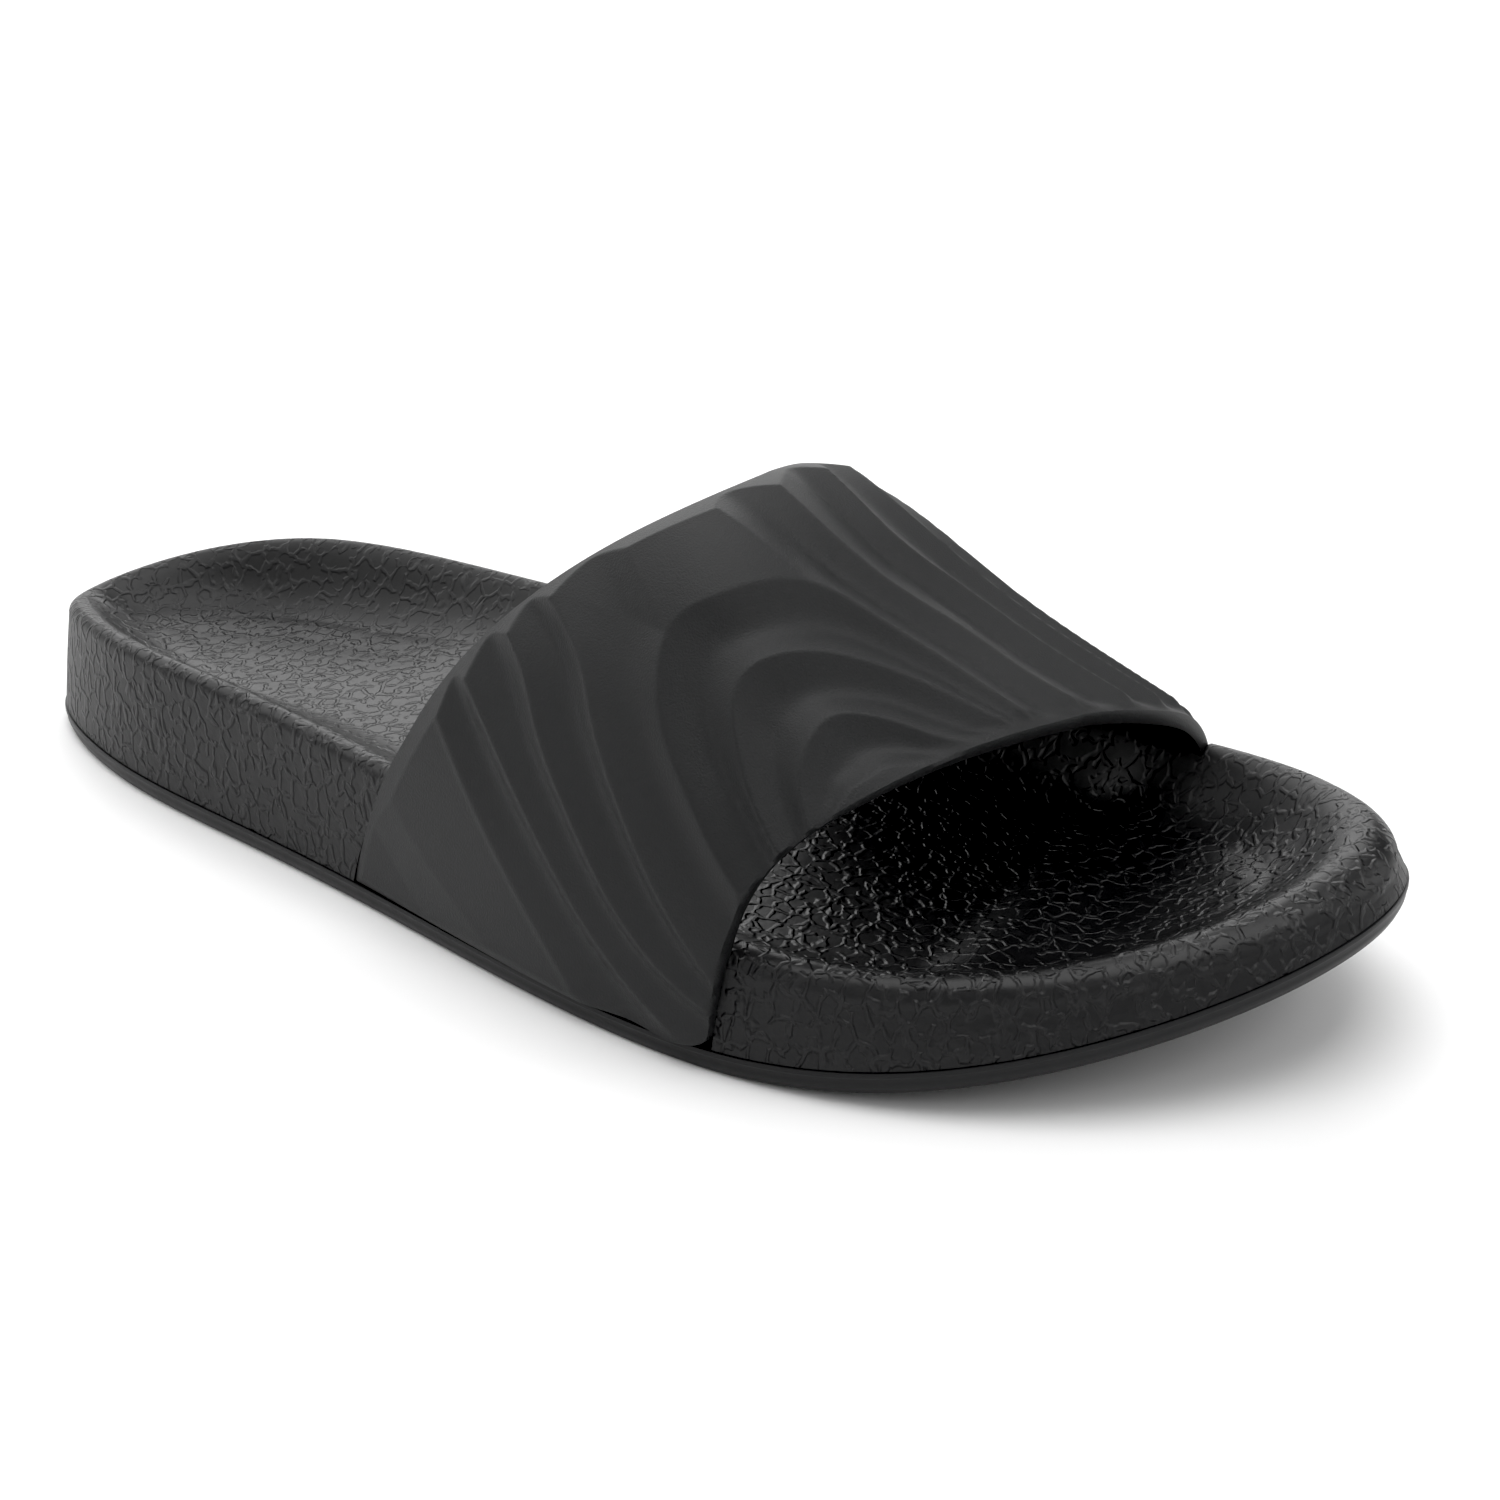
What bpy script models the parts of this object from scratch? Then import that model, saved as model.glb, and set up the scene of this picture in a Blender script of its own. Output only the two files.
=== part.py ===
"""A sport slide sandal for the right foot: rubber outsole, foam footbed and one moulded strap.

Metres, +Z up. The toe points to -Y, the outer (little-toe) side is -X, and the origin lies on the
floor at the middle of the outsole's box. Stations are shares of the length, 0 at the heel, 1 at the toe.
"""
from collections import namedtuple

import bmesh
import bpy
import numpy as np

MM = 0.001

# The shoe's own sizes
LENGTH = 285 * MM
BALL_WIDTH = 110 * MM
HEEL_WIDTH = 73 * MM
RIM_HEIGHT = 32 * MM
TOE_SPRING = 22 * MM
SPRING_START = 0.66
MIDDLE_SHARE = 0.72
TURNS = 72

# Rubber outsole
OUTSOLE_THICKNESS = 4.4 * MM
OUTSOLE_BELLY = 0.7 * MM
BELLY_LEVEL = 0.55
CORNER_WIDTH = 1.2 * MM
CORNER_HEIGHT = 0.8 * MM
LIP_FILLET = 0.2 * MM
LIP_DEPTH = 0.5 * MM
LIP_HEIGHT = 0.9 * MM
TREAD_DEPTH = 1.5 * MM
GROOVE_WIDTH = 3.0 * MM
LUG_LENGTH = 9.0 * MM
GROOVE_SWEEP = 10.0 * MM
GROOVE_APEX = -3.7 * MM
TREAD_MARGIN = 7.0 * MM
HEEL_TREAD = (0.10, 0.30)
FRONT_TREAD = (0.56, 0.93)

# Foam footbed
CLEARANCE = 0.3 * MM
FOOTBED_LEDGE = 0.9 * MM
SEAT_CORNER = 0.4 * MM
FOOT_CORNER = 0.5 * MM
WALL_DRAFT_HEEL = 0.6 * MM
WALL_DRAFT_TOE = 1.8 * MM
RIM_ROUND_HEEL = 2.6 * MM
RIM_ROUND_TOE = 4.2 * MM
RIM_WIDENING = (0.35, 0.80)
RIM_FALL = 14 * MM
BED_HEIGHT = 23 * MM
ARCH_RAISE = 5.0 * MM
ARCH_ACROSS = (-0.1, 0.4)
ARCH_RISE = (0.22, 0.42)
ARCH_END = (0.48, 0.66)
TOE_RIDGE = 2.2 * MM
RIDGE_RISE = (0.765, 0.80)
RIDGE_END = (0.80, 0.84)
RECESS_GAP = 0.5 * MM
RECESS_REACH = 12 * MM
RECESS_DROP = 6 * MM
RECESS_SHARE = 0.30
RECESS_SECTIONS = 10

# Moulded strap
STRAP_WALL = 4.5 * MM
STRAP_HEIGHT = 84 * MM
STRAP_EDGE_SET = 0.5 * MM
STRAP_FOOT_GAP = 0.8 * MM
CHAMFER_LENGTH = 5.5 * MM
CHAMFER_DEPTH = 2.8 * MM
EDGE_ROUND = 1.6 * MM
SCALLOP_DEPTH = 1.1 * MM
DISH_DEPTH = 1.3 * MM
FAN_REACH = 100 * MM
FAN_GIRTH = 200 * MM
FAN_ACROSS = 0.290
FAN_STATION = 0.785
INNER_RIDGE_STEP = 12 * MM
CROWN_PLACE = 0.50
OUTER_FULLNESS = 2.29
INNER_FULLNESS = 2.04
FOOT_CROWDING = 0.10
STRAP_COLUMNS = 78
STRAP_ROWS = 28

# The outline seen from above: each side's reach from the middle line, as shares of the size it follows
OutlineRow = namedtuple("OutlineRow", "station follows outer inner")
OUTLINE = (
    OutlineRow(0.00, HEEL_WIDTH, -0.03, 0.03),
    OutlineRow(0.05, HEEL_WIDTH, 0.225, 0.363),
    OutlineRow(0.15, HEEL_WIDTH, 0.385, 0.522),
    OutlineRow(0.27, HEEL_WIDTH, 0.484, 0.534),
    OutlineRow(0.40, BALL_WIDTH, 0.395, 0.355),
    OutlineRow(0.55, BALL_WIDTH, 0.489, 0.408),
    OutlineRow(0.68, BALL_WIDTH, 0.529, 0.465),
    OutlineRow(0.80, BALL_WIDTH, 0.474, 0.459),
    OutlineRow(0.90, BALL_WIDTH, 0.330, 0.397),
    OutlineRow(0.97, BALL_WIDTH, 0.151, 0.269),
    OutlineRow(1.00, BALL_WIDTH, -0.064, 0.064),
)

# The footbed's rim above the outsole's underside, as shares of the rim height
RimRow = namedtuple("RimRow", "station outer inner")
RIM = (
    RimRow(0.00, 0.82, 0.82),
    RimRow(0.14, 0.97, 1.04),
    RimRow(0.42, 0.91, 1.05),
    RimRow(0.70, 0.68, 0.87),
    RimRow(1.00, 0.36, 0.36),
)

# The footbed's floor along its middle above the outsole's underside, as shares of the bed height
BedRow = namedtuple("BedRow", "station floor")
BED = (
    BedRow(0.00, 0.92),
    BedRow(0.14, 0.88),
    BedRow(0.40, 1.05),
    BedRow(0.60, 0.86),
    BedRow(0.72, 0.62),
    BedRow(0.88, 0.42),
    BedRow(1.00, 0.45),
)

# The bed's fall inside the rim: shares of the way in from the crest, and of the drop to the floor
FallRow = namedtuple("FallRow", "inward drop")
FALL = (
    FallRow(0.14, 0.10),
    FallRow(0.36, 0.42),
    FallRow(0.64, 0.76),
    FallRow(1.00, 0.95),
)

# The strap's crown height, as shares of the strap height
CrownRow = namedtuple("CrownRow", "station height")
CROWN = (
    CrownRow(0.36, 1.19),
    CrownRow(0.50, 1.08),
    CrownRow(0.62, 1.01),
    CrownRow(0.72, 0.79),
    CrownRow(0.82, 0.595),
    CrownRow(0.90, 0.435),
)

# The strap's rear and front edges, by the share of the way across from the outer foot to the inner
EdgeRow = namedtuple("EdgeRow", "across rear front")
EDGES = (
    EdgeRow(0.00, 0.375, 0.679),
    EdgeRow(0.12, 0.435, 0.697),
    EdgeRow(0.25, 0.509, 0.743),
    EdgeRow(0.38, 0.582, 0.785),
    EdgeRow(0.50, 0.612, 0.815),
    EdgeRow(0.62, 0.608, 0.835),
    EdgeRow(0.75, 0.583, 0.838),
    EdgeRow(1.00, 0.528, 0.832),
)

# The strap's moulded ridges: radii of each ridge round the fan's centre, as shares of the fan's reach.
# Angles are degrees on the unrolled strap, 0 toward the inner foot and 90 toward the heel.
FanRow = namedtuple("FanRow", "angle first second third fourth panel fifth sixth seventh eighth ninth")
FAN = (
    FanRow(-20, 0.100, 0.200, 0.330, 0.365, 0.380, 0.510, 0.680, 0.800, 0.910, 1.030),
    FanRow(10, 0.090, 0.160, 0.260, 0.330, 0.350, 0.420, 0.530, 0.650, 0.770, 0.890),
    FanRow(40, 0.090, 0.160, 0.275, 0.365, 0.380, 0.490, 0.660, 0.780, 0.900, 1.020),
    FanRow(60, 0.095, 0.185, 0.290, 0.405, 0.450, 0.660, 0.820, 0.940, 1.060, 1.180),
    FanRow(80, 0.110, 0.215, 0.325, 0.435, 0.800, 0.900, 1.000, 1.100, 1.200, 1.300),
    FanRow(100, 0.130, 0.230, 0.350, 0.480, 0.560, 0.670, 0.820, 0.960, 1.050, 1.180),
    FanRow(120, 0.160, 0.240, 0.320, 0.435, 0.500, 0.580, 0.690, 0.800, 0.885, 1.020),
    FanRow(140, 0.180, 0.260, 0.320, 0.395, 0.460, 0.540, 0.630, 0.710, 0.790, 0.920),
    FanRow(160, 0.180, 0.270, 0.340, 0.420, 0.490, 0.580, 0.640, 0.700, 0.780, 0.900),
)

# How far each ridge's own level lies below the strap's outer face, as shares of the dish depth
RIDGE_DROP = dict(first=1.0, second=0.75, third=0.4)


def spline_slopes(knots, values, period):
    """Slopes of the cubic spline through the values: closed where a period is given, else natural."""
    count = len(knots)
    if period:
        steps = np.diff(np.append(knots, knots[0] + period))
        rises = np.diff(np.append(values, values[0])) / steps
    else:
        steps = np.diff(knots)
        rises = np.diff(values) / steps
    matrix = np.zeros((count, count))
    right = np.zeros(count)
    for row in range(count):
        after = row if period or row < count - 1 else None
        before = row - 1 if period or row > 0 else None
        for side, other in ((before, row - 1), (after, (row + 1) % count)):
            if side is not None:
                matrix[row, row] += 2 / steps[side]
                matrix[row, other] += 1 / steps[side]
                right[row] += 3 * rises[side] / steps[side]
    return np.linalg.solve(matrix, right)


def spline(at, knots, values, period=None):
    """Cubic curve through the knots with no jump in its bend, read at the given places."""
    knots = np.asarray(knots, float)
    values = np.asarray(values, float)
    slopes = spline_slopes(knots, values, period)
    at = np.asarray(at, float)
    if period:
        at = knots[0] + np.mod(at - knots[0], period)
        knots = np.append(knots, knots[0] + period)
        values = np.append(values, values[0])
        slopes = np.append(slopes, slopes[0])
    part = np.clip(np.searchsorted(knots, at, side="right") - 1, 0, len(knots) - 2)
    step = knots[part + 1] - knots[part]
    share = (at - knots[part]) / step
    rise = values[part + 1] - values[part]
    start = slopes[part] * step - rise
    end = rise - slopes[part + 1] * step
    return values[part] + share * rise + share * (1 - share) * (start * (1 - share) + end * share)


def turn_of(station):
    """Angle round the outline, 0 at the heel and pi at the toe, whose station is given."""
    return np.arccos(1 - 2 * np.asarray(station, float))


def station_of(turn):
    return (1 - np.cos(turn)) / 2


def place_of(station):
    """Y of a station: the heel lies at +LENGTH / 2, the toe at -LENGTH / 2."""
    return LENGTH * (0.5 - station)


def closed_table(rows, outer, inner):
    """Angles and values right round a table: its outer side from heel to toe, then its inner side back."""
    turns = [turn_of(row.station) for row in rows]
    back = [2 * np.pi - turn for turn in turns[-2:0:-1]]
    return turns + back, [outer(row) for row in rows] + [inner(row) for row in rows[-2:0:-1]]


def raw_reach(turn):
    """X of the outline at an angle, before the box is centred."""
    turns, places = closed_table(OUTLINE, lambda row: -row.follows * row.outer,
                                 lambda row: row.follows * row.inner)
    return spline(turn, turns, places, 2 * np.pi)


FINE_TURNS = np.linspace(0, 2 * np.pi, 721)
CENTRE = (raw_reach(FINE_TURNS).min() + raw_reach(FINE_TURNS).max()) / 2


def reach(turn):
    return raw_reach(turn) - CENTRE


def outline(turn, inset):
    """Points of the outline at the angles, moved inward along the normal by the inset."""
    small = 0.01
    point = np.stack([reach(turn), place_of(station_of(turn))], -1)
    ahead = np.stack([reach(turn + small), place_of(station_of(turn + small))], -1)
    behind = np.stack([reach(turn - small), place_of(station_of(turn - small))], -1)
    along = ahead - behind
    along /= np.linalg.norm(along, axis=-1, keepdims=True)
    inward = np.stack([-along[..., 1], along[..., 0]], -1)
    return point + inward * np.asarray(inset)[..., None]


def underside(station):
    """Height of the outsole's underside: flat to the ball, then a parabola up to the toe."""
    ahead = np.clip((station - SPRING_START) / (1 - SPRING_START), 0, None)
    return TOE_SPRING * ahead ** 2


def blend(low, high, value):
    """0 below low, 1 above high, and a smooth step between them."""
    share = np.clip((value - low) / (high - low), 0, 1)
    return share * share * (3 - 2 * share)


def rim_height(turn):
    turns, heights = closed_table(RIM, lambda row: row.outer, lambda row: row.inner)
    return RIM_HEIGHT * spline(turn, turns, heights, 2 * np.pi)


def bed_floor(station):
    return BED_HEIGHT * spline(station, [row.station for row in BED], [row.floor for row in BED])


def wall_draft(station):
    """How far the footbed's side leans in from its foot to the start of the rim's round."""
    return WALL_DRAFT_HEEL + (WALL_DRAFT_TOE - WALL_DRAFT_HEEL) * blend(*RIM_WIDENING, station)


def rim_round(station):
    """Radius of the rim's outer round, wider round the toes than at the heel."""
    return RIM_ROUND_HEEL + (RIM_ROUND_TOE - RIM_ROUND_HEEL) * blend(*RIM_WIDENING, station)


def middle_point(turn):
    """Point of the seam line down the middle that faces an angle of the outline."""
    station = 0.5 + MIDDLE_SHARE * (station_of(turn) - 0.5)
    angle = turn_of(station)
    x = (reach(angle) + reach(2 * np.pi - angle)) / 2
    return np.stack([x, place_of(station)], -1)


def ring_at(turn, flat, height):
    return np.column_stack([flat, np.broadcast_to(height, turn.shape)])


def loft_mesh(name, rings, capped):
    """Skin over closed rings, each quad split along its shorter diagonal, with flat ends where capped."""
    work = bmesh.new()
    grid = [[work.verts.new(point) for point in ring] for ring in rings]
    for lower, upper in zip(grid, grid[1:]):
        for index, (low, high) in enumerate(zip(lower, upper)):
            after = (index + 1) % len(lower)
            next_low, next_high = lower[after], upper[after]
            if (low.co - next_high.co).length < (next_low.co - high.co).length:
                work.faces.new((low, next_low, next_high))
                work.faces.new((low, next_high, high))
            else:
                work.faces.new((low, next_low, high))
                work.faces.new((next_low, next_high, high))
    if capped:
        work.faces.new(grid[0])
        work.faces.new(grid[-1])
    bmesh.ops.remove_doubles(work, verts=work.verts, dist=0.00001)
    bmesh.ops.recalc_face_normals(work, faces=work.faces)
    mesh = bpy.data.meshes.new(name)
    work.to_mesh(mesh)
    work.free()
    return mesh


def make_material(name, colour, roughness):
    material = bpy.data.materials.new(name)
    material.use_nodes = True
    surface = material.node_tree.nodes["Principled BSDF"]
    surface.inputs["Base Color"].default_value = (*colour, 1)
    surface.inputs["Roughness"].default_value = roughness
    surface.inputs["Metallic"].default_value = 0
    return material


def add_object(name, mesh, collection, material=None):
    item = bpy.data.objects.new(name, mesh)
    collection.objects.link(item)
    if material:
        mesh.materials.append(material)
        mesh.shade_smooth()
        mesh.set_sharp_from_angle(angle=np.radians(35))
    return item


def cut_away(item, cutter, solver="EXACT"):
    """Takes the cutter's volume out of the item and keeps the cutter as a hidden guide."""
    cutter.hide_render = True
    cutter.display_type = "WIRE"
    cut = item.modifiers.new("cut " + cutter.name, "BOOLEAN")
    cut.operation = "DIFFERENCE"
    cut.solver = solver
    cut.object = cutter


def outsole_rings():
    """Underside from the middle line out, side with its belly and lip, then the top face back in."""
    turn = np.linspace(0, 2 * np.pi, TURNS, endpoint=False)
    station = station_of(turn)
    low = underside(station)
    top = low + OUTSOLE_THICKNESS
    middle = middle_point(turn)
    middle_station = 0.5 - middle[:, 1] / LENGTH
    middle_low = underside(middle_station)
    lip = LIP_DEPTH
    side = (
        (lip + OUTSOLE_BELLY + CORNER_WIDTH, low),
        (lip + OUTSOLE_BELLY, low + CORNER_HEIGHT),
        (lip, low + BELLY_LEVEL * OUTSOLE_THICKNESS),
        (lip, top - LIP_HEIGHT - LIP_FILLET),
        (0, top - LIP_HEIGHT),
        (0, top),
    )
    rings = [ring_at(turn, middle, middle_low)]
    rings += [ring_at(turn, outline(turn, inset), height) for inset, height in side]
    seat = outline(turn, np.full(TURNS, FOOTBED_LEDGE + SEAT_CORNER))
    rings.append(ring_at(turn, seat, top))
    rings.append(ring_at(turn, middle, middle_low + OUTSOLE_THICKNESS))
    return rings


def groove(work, station, width, depth):
    """One tread groove: a bar across the sole, swept back toward both edges in a shallow V."""
    angle = turn_of(station)
    ends = [outline(np.array(angle), 0)[0] + TREAD_MARGIN,
            (reach(angle) + reach(2 * np.pi - angle)) / 2 + GROOVE_APEX,
            outline(np.array(2 * np.pi - angle), 0)[0] - TREAD_MARGIN]
    middle = place_of(station)
    places = [middle + GROOVE_SWEEP, middle, middle + GROOVE_SWEEP]
    corners = []
    for x, y in zip(ends, places):
        for shift in (-width / 2, width / 2):
            low = underside(0.5 - (y + shift) / LENGTH)
            corners.append([work.verts.new((x, y + shift, low - depth)),
                            work.verts.new((x, y + shift, low + depth))])
    for left, right in ((0, 2), (2, 4)):
        back_low, back_high = corners[left]
        front_low, front_high = corners[left + 1]
        next_back_low, next_back_high = corners[right]
        next_front_low, next_front_high = corners[right + 1]
        work.faces.new((back_low, next_back_low, next_front_low, front_low))
        work.faces.new((back_high, front_high, next_front_high, next_back_high))
        work.faces.new((back_low, back_high, next_back_high, next_back_low))
        work.faces.new((front_low, next_front_low, next_front_high, front_high))
    for end in (0, 4):
        work.faces.new((corners[end][0], corners[end + 1][0], corners[end + 1][1], corners[end][1]))


def groove_stations():
    """Stations of the tread's grooves, a lug's length apart, under the heel and under the forefoot."""
    pitch = (LUG_LENGTH + GROOVE_WIDTH) / LENGTH
    return np.concatenate([np.arange(*HEEL_TREAD, pitch), np.arange(*FRONT_TREAD, pitch)])


def build_outsole(parts, cutters):
    rubber = make_material("outsole rubber", (0.012, 0.012, 0.013), 0.45)
    outsole = add_object("outsole", loft_mesh("outsole", outsole_rings(), False), parts, rubber)
    work = bmesh.new()
    for station in groove_stations():
        groove(work, station, GROOVE_WIDTH, TREAD_DEPTH)
    bmesh.ops.recalc_face_normals(work, faces=work.faces)
    mesh = bpy.data.meshes.new("tread grooves")
    work.to_mesh(mesh)
    work.free()
    cut_away(outsole, add_object("tread grooves", mesh, cutters), "MANIFOLD")


def bed_point_height(turn, flat, share):
    """Height inside the rim: share 0 on the rim's crest, 1 on the floor, with arch and toe ridge."""
    station = 0.5 - flat[:, 1] / LENGTH
    low = underside(station)
    crest = underside(station_of(turn)) + rim_height(turn)
    floor = low + bed_floor(station)
    side = blend(*ARCH_ACROSS, flat[:, 0] / BALL_WIDTH)
    arch = ARCH_RAISE * side * blend(*ARCH_RISE, station) * (1 - blend(*ARCH_END, station))
    ridge = TOE_RIDGE * blend(*RIDGE_RISE, station) * (1 - blend(*RIDGE_END, station))
    return crest + (floor + arch + ridge - crest) * share


def footbed_rings():
    """Underside, leaning side, rounded rim and the cupped bed down to the middle line."""
    turn = np.linspace(0, 2 * np.pi, TURNS, endpoint=False)
    station = station_of(turn)
    low = underside(station) + OUTSOLE_THICKNESS + CLEARANCE
    crest = underside(station) + rim_height(turn)
    middle = middle_point(turn)
    middle_low = underside(0.5 - middle[:, 1] / LENGTH) + OUTSOLE_THICKNESS + CLEARANCE
    foot = FOOTBED_LEDGE
    lean = wall_draft(station)
    bend_size = rim_round(station)
    shoulder = crest - bend_size
    rings = [ring_at(turn, middle, middle_low)]
    rings.append(ring_at(turn, outline(turn, np.full(TURNS, foot + SEAT_CORNER)), low))
    rings.append(ring_at(turn, outline(turn, np.full(TURNS, foot)), low + FOOT_CORNER))
    rings.append(ring_at(turn, outline(turn, foot + 0.42 * lean), (low + shoulder) / 2))
    for bend in np.radians((0, 30, 60, 90)):
        inset = foot + lean + bend_size * (1 - np.cos(bend))
        rings.append(ring_at(turn, outline(turn, inset), shoulder + bend_size * np.sin(bend)))
    crest_inset = foot + lean + bend_size
    for row in FALL:
        flat = outline(turn, crest_inset + row.inward * RIM_FALL)
        rings.append(ring_at(turn, flat, bed_point_height(turn, flat, row.drop)))
    edge = outline(turn, crest_inset + RIM_FALL)
    for toward in (0.4, 0.75, 1.0):
        flat = edge + (middle - edge) * toward
        rings.append(ring_at(turn, flat, bed_point_height(turn, flat, 1)))
    return rings


def edge_stations(across):
    """Stations of the strap's rear and front edges at a share of the way across."""
    knots = [row.across for row in EDGES]
    rear = spline(across, knots, [row.rear for row in EDGES])
    front = spline(across, knots, [row.front for row in EDGES])
    return rear, front


def arch_point(across, station):
    """Strap's outer face: half of a rounded arch on either side of the crown.

    Each side is a superellipse from its foot, just above the outsole's edge, to the crown.
    """
    turn = turn_of(station)
    outer_foot = reach(turn) + STRAP_EDGE_SET
    inner_foot = reach(2 * np.pi - turn) - STRAP_EDGE_SET
    base = underside(station) + OUTSOLE_THICKNESS + STRAP_FOOT_GAP
    crown = STRAP_HEIGHT * spline(station, [row.station for row in CROWN], [row.height for row in CROWN])
    crown_x = outer_foot + (inner_foot - outer_foot) * CROWN_PLACE
    angle = np.pi * across
    inner_side = across > 0.5
    fullness = np.where(inner_side, INNER_FULLNESS, OUTER_FULLNESS)
    half = np.where(inner_side, inner_foot - crown_x, crown_x - outer_foot)
    x = crown_x - np.sign(np.cos(angle)) * half * np.abs(np.cos(angle)) ** (2 / fullness)
    z = base + (crown - base) * np.abs(np.sin(angle)) ** (2 / fullness)
    return np.stack([x, place_of(station), z], -1)


def relief(across, station):
    """Depth of the moulded coves below the strap's outer face, on its unrolled surface.

    Between two ridges the face dips in a parabola of the scallop's depth. The ridges round the fan's
    centre step down toward it, and past the last ridge of the table they go on only on the inner side.
    """
    sideways = (across - FAN_ACROSS) * FAN_GIRTH
    rearward = (FAN_STATION - station) * LENGTH
    radius = np.hypot(sideways, rearward)
    angles = [row.angle for row in FAN]
    angle = np.clip(np.degrees(np.arctan2(rearward, sideways)), angles[0], angles[-1])
    names = FanRow._fields[1:]
    ridges = [FAN_REACH * spline(angle, angles, [getattr(row, name) for row in FAN]) for name in names]
    levels = [DISH_DEPTH * RIDGE_DROP.get(name, 0) for name in names]
    depth = np.where(radius < ridges[0], levels[0], 0.0)
    for index, name in enumerate(names[:-1]):
        share = (radius - ridges[index]) / (ridges[index + 1] - ridges[index])
        cove = 0 if name == "fourth" else SCALLOP_DEPTH
        level = levels[index] + (levels[index + 1] - levels[index]) * share
        inside = (share >= 0) & (share < 1)
        depth = np.where(inside, level + 4 * cove * share * (1 - share), depth)
    beyond = (radius - ridges[-1]) / INNER_RIDGE_STEP
    share = np.mod(beyond, 1)
    more = (beyond > 0) & (across > FAN_ACROSS)
    return np.where(more, 4 * SCALLOP_DEPTH * share * (1 - share), depth)


def strap_point(across, along, depth):
    """Point of the strap: along is 0 at its rear edge and 1 at its front, depth is below the outer face."""
    rear, front = edge_stations(across)
    station = rear + (front - rear) * along
    point = arch_point(across, station)
    small = 0.002
    low = np.clip(across - small, 0, 1)
    high = np.clip(across + small, 0, 1)
    step_across = arch_point(high, station) - arch_point(low, station)
    step_along = arch_point(across, station + small) - arch_point(across, station - small)
    normal = np.cross(step_along, step_across)
    normal /= np.linalg.norm(normal, axis=-1, keepdims=True)
    return point - normal * np.asarray(depth)[..., None]


def strap_section(across, grow, outward):
    """Closed section of the strap at a share of the way across, as (along, depth) pairs put in place.

    It runs from the inner face's rear edge over the chamfer, the outer face and the rounded front edge,
    and back along the inner face. A cutter's section is grown at its ends and inside, and stands outward.
    """
    rear, front = edge_stations(across)
    width = (front - rear) * LENGTH
    if outward:
        side = grow / width
        pairs = [(-side, STRAP_WALL + CLEARANCE), (-side, -outward), (1 + side, -outward),
                 (1 + side, STRAP_WALL + CLEARANCE)]
        pairs += [(share, STRAP_WALL + CLEARANCE) for share in (0.75, 0.5, 0.25)]
    else:
        chamfer = CHAMFER_LENGTH / width
        bend = EDGE_ROUND / width
        pairs = [(0, STRAP_WALL), (0, CHAMFER_DEPTH)]
        rows = chamfer + (1 - bend - chamfer) * np.linspace(0, 1, STRAP_ROWS)
        dips = relief(np.full(STRAP_ROWS, across), rear + (front - rear) * rows)
        pairs += list(zip(rows, dips))
        pairs += [(1 - 0.3 * bend, dips[-1] + 0.3 * EDGE_ROUND), (1, dips[-1] + EDGE_ROUND),
                  (1, STRAP_WALL - 0.5 * EDGE_ROUND),
                  (1 - 0.5 * bend, STRAP_WALL)]
        pairs += [(share, STRAP_WALL) for share in (0.75, 0.5, 0.25)]
    along = np.array([pair[0] for pair in pairs])
    depth = np.array([pair[1] for pair in pairs])
    return strap_point(np.full(len(pairs), across), along, depth)


def foot_shares(columns):
    """Shares of the way across whose columns are spaced evenly round the arch and closer at its feet."""
    even = np.linspace(0, 1, columns)
    return even + FOOT_CROWDING * np.sin(4 * np.pi * even) / (4 * np.pi)


def build_strap(parts):
    moulded = make_material("strap moulding", (0.016, 0.017, 0.018), 0.8)
    sections = [strap_section(share, 0, 0) for share in foot_shares(STRAP_COLUMNS)]
    return add_object("strap", loft_mesh("strap", sections, True), parts, moulded)


def build_footbed(parts, cutters):
    foam = make_material("footbed foam", (0.020, 0.020, 0.021), 0.55)
    footbed = add_object("footbed", loft_mesh("footbed", footbed_rings(), False), parts, foam)
    for name, start, end in (("outer recess", 0, RECESS_SHARE), ("inner recess", 1, 1 - RECESS_SHARE)):
        shares = np.linspace(start, end, RECESS_SECTIONS)
        sections = [strap_section(share, RECESS_GAP, RECESS_REACH) for share in shares]
        below = sections[0].copy()
        below[:, 2] -= RECESS_DROP
        cutter = add_object(name, loft_mesh(name, [below] + sections, True), cutters)
        cut_away(footbed, cutter)


def clear_scene():
    for item in list(bpy.data.objects):
        bpy.data.objects.remove(item, do_unlink=True)


def main():
    clear_scene()
    parts = bpy.data.collections.new("slide sandal")
    cutters = bpy.data.collections.new("cutters")
    for collection in (parts, cutters):
        bpy.context.scene.collection.children.link(collection)
    build_outsole(parts, cutters)
    build_footbed(parts, cutters)
    build_strap(parts)


main()
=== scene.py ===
"""Looks of the sport slide sandal: fine strap, footbed and outsole, their finishes, light and camera.

Metres, +Z up. The toe points to -Y, the outer (little-toe) side is -X, and the floor is z = 0.
Stations are shares of the length, 0 at the heel and 1 at the toe. A turn is the angle round the
outline, 0 at the heel and pi at the toe, with the outer side first. Across is the share of the way
round the strap, 0 at its outer foot and 1 at its inner foot.
"""
from collections import namedtuple

import bmesh
import bpy
import numpy as np
from mathutils import Matrix, Vector


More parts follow.
